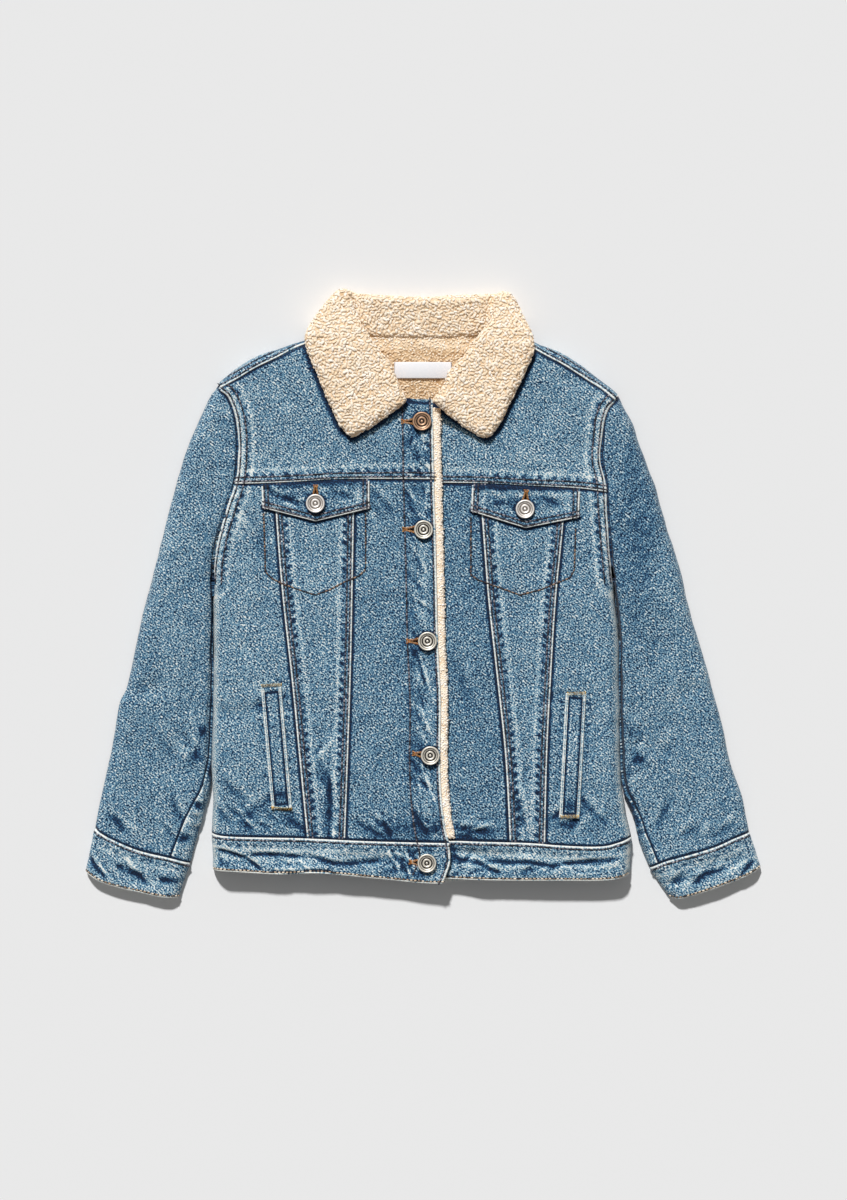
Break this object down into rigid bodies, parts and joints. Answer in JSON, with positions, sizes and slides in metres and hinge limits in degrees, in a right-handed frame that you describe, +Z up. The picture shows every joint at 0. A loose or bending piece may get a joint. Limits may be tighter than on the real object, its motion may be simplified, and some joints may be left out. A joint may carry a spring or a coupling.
{
  "type": "pile-lined denim jacket",
  "caption": "Child's washed denim jacket with a pile collar and lining, buttoned up and laid flat on its back with the sleeves at its sides.",
  "frame": {"origin": "on the ground, at the bottom centre of the bounding box", "axes": "+X towards the wearer's left sleeve, +Y towards the collar, +Z up, away from the ground that the back lies on"},
  "size_m": [0.609, 0.5496, 0.0311],
  "materials": {
    "washed_denim": "washed twill",
    "cream_pile": "curled pile",
    "tan_pile": "curled pile",
    "label_satin": "woven satin",
    "worn_nickel": "worn"
  },
  "bodies": {
    "root": {"back": "washed_denim", "back_yoke": "washed_denim", "waistband_back": "washed_denim", "front_yoke_right": "washed_denim", "front_yoke_left": "washed_denim", "front_side_right": "washed_denim", "front_side_left": "washed_denim", "front_wedge_right": "washed_denim", "front_wedge_left": "washed_denim", "front_centre_right": "washed_denim", "front_centre_left": "washed_denim", "pocket_flap_right": "washed_denim", "pocket_flap_left": "washed_denim", "welt_right": "washed_denim", "welt_left": "washed_denim", "waistband_right": "washed_denim", "waistband_left": "washed_denim", "top_sleeve_right": "washed_denim", "top_sleeve_left": "washed_denim", "under_sleeve_right": "washed_denim", "under_sleeve_left": "washed_denim", "cuff_right": "washed_denim", "cuff_left": "washed_denim", "collar": "cream_pile", "neck_lining": "tan_pile", "front_edge_pile": "cream_pile", "neck_label": "label_satin", "button_1": "worn_nickel", "button_2": "worn_nickel", "button_3": "worn_nickel", "button_4": "worn_nickel", "button_5": "worn_nickel", "flap_button_right": "worn_nickel", "flap_button_left": "worn_nickel"}
  },
  "joints": []
}
